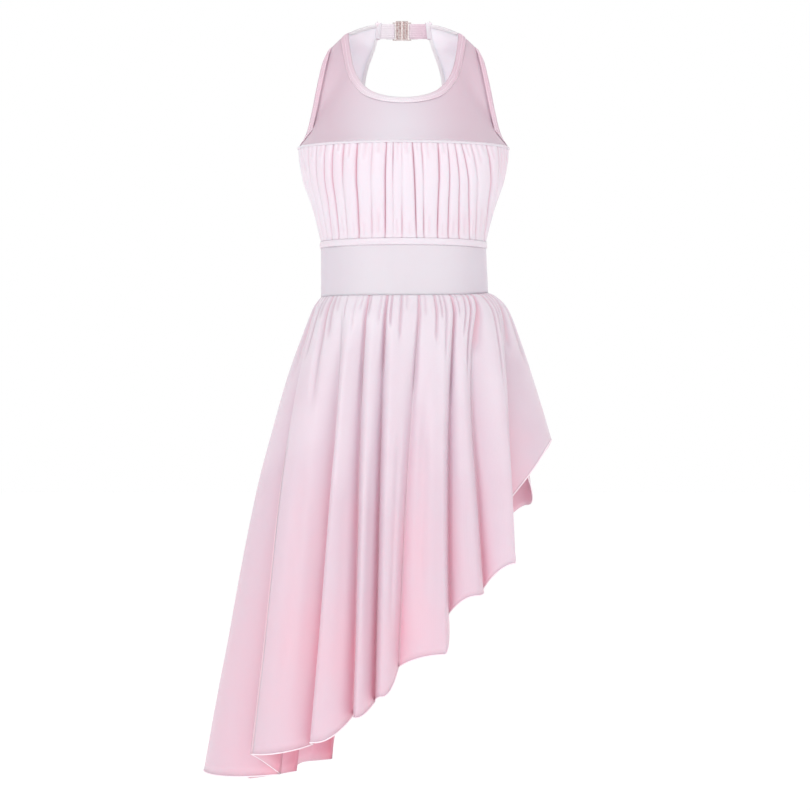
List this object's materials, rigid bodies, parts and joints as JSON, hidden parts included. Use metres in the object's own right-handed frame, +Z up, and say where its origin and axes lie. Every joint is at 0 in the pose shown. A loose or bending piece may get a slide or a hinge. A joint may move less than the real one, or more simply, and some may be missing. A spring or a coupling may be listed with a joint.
{
  "type": "ballet leotard dress",
  "caption": "Child's halter ballet leotard dress with a gathered bust, smooth waistband, slanting gathered skirt and keyhole back, filled out as when worn.",
  "frame": {"origin": "middle of the fastened clasp at the nape, where the dress hangs on the wearer", "axes": "+Z up, the front of the dress faces -Y, the wearer's left is +X"},
  "size_m": [0.4293, 0.346, 0.9773],
  "materials": {
    "satin_smooth": "pale pink satin knit, smooth and slightly stretched",
    "satin_gathered": "pale pink satin knit in soft folds, low sheen",
    "turned_hem": "the same satin turned once and cover stitched",
    "elastic": "woven flat elastic, dyed pale pink",
    "plated_metal": "silver plated metal set with pale stones"
  },
  "bodies": {
    "root": {"yoke_front": "satin_smooth", "back_panel": "satin_smooth", "bust_front": "satin_gathered", "waistband_front": "satin_smooth", "waistband_back": "satin_smooth", "skirt_front": "satin_gathered", "skirt_back": "satin_gathered", "brief_front": "satin_smooth", "brief_back": "satin_smooth", "neck_band_front": "turned_hem", "neck_band_back_left": "turned_hem", "neck_band_back_right": "turned_hem", "keyhole_band": "turned_hem", "armhole_band_front_left": "turned_hem", "armhole_band_front_right": "turned_hem", "armhole_band_back_left": "turned_hem", "armhole_band_back_right": "turned_hem", "neck_elastic_left": "elastic", "neck_elastic_right": "elastic", "clasp_left": "plated_metal", "clasp_right": "plated_metal"}
  },
  "joints": []
}
